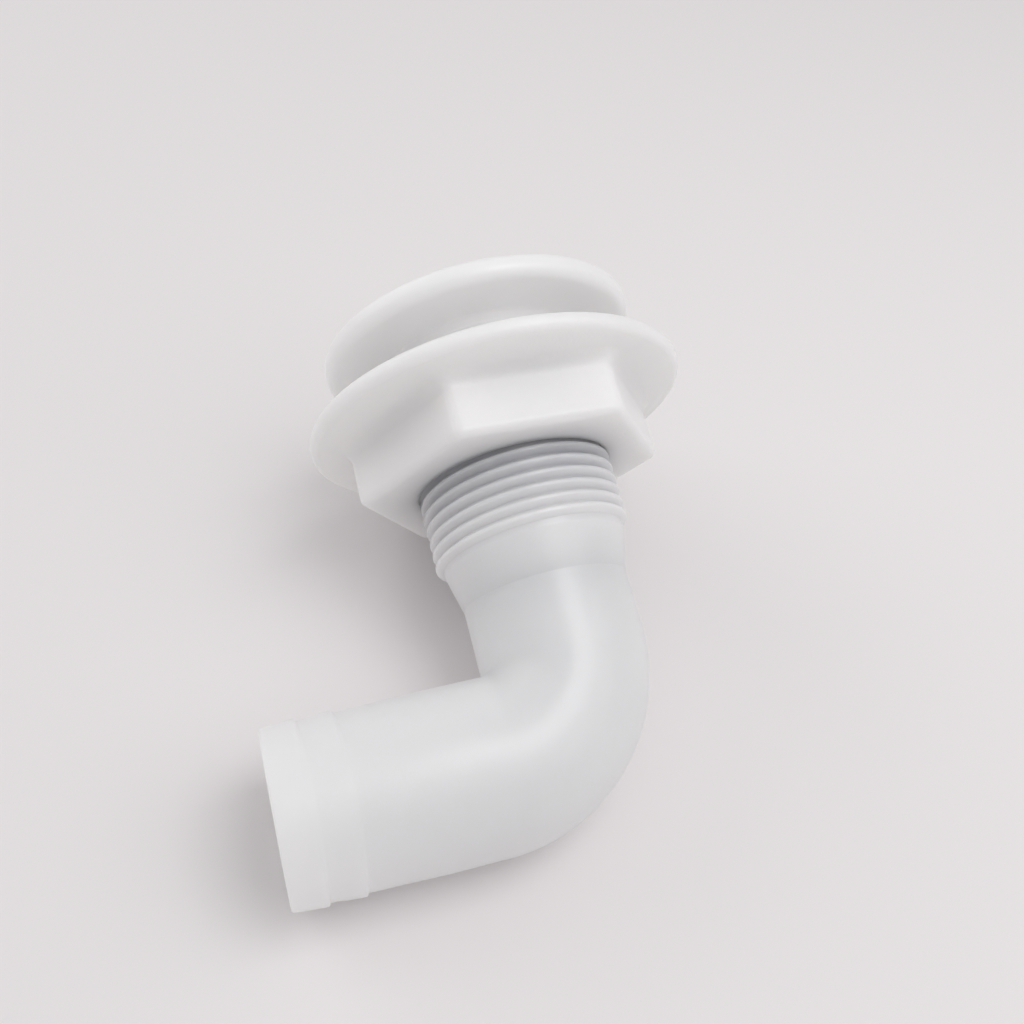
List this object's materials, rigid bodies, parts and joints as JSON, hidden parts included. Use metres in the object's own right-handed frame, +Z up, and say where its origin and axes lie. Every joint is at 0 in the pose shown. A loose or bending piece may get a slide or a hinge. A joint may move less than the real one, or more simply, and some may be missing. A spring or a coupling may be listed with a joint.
{
  "type": "thru hull fitting",
  "caption": "Right-angle thru hull fitting: mushroom head, threaded barrel with a flanged lock nut that screws along it, smooth elbow and barbed hose tail, in white plastic.",
  "frame": {"origin": "on the table, under the middle of the whole fitting's box, as it lies on its hose tail and on the rim of the nut's flange", "axes": "+Z up from the table; the hose tail points along -X; the barrel runs towards +Y and leans up from it by 17.31 degrees, ending in the mushroom head"},
  "size_m": [0.0848, 0.0954, 0.0648],
  "materials": {
    "white_moulding": "satin white nylon, slightly translucent",
    "nut_plastic": "satin white nylon with a fine grain",
    "washer_plastic": "smooth milky soft plastic"
  },
  "bodies": {
    "fitting": {"mushroom_head": "white_moulding", "threaded_barrel": "white_moulding", "elbow": "white_moulding", "hose_tail": "white_moulding"},
    "washer": {"sealing_washer": "washer_plastic"},
    "nut": {"lock_nut": "nut_plastic"}
  },
  "joints": [
    {"name": "washer_slide", "type": "slide", "parent": "fitting", "child": "washer", "axis": [0, 0.9547, 0.2975], "range_m": [-0.0128, 0.0086]},
    {"name": "nut_spin", "type": "hinge", "parent": "washer", "child": "nut", "pos_m": [0.0086, 0.01928, 0.03081], "axis": [0, 0.9547, 0.2975], "range_deg": [-2070, 1395]}
  ],
  "couplings": [
    {"joint": "washer_slide", "follows": "nut_spin", "m_per_rad": 0.00035153}
  ]
}
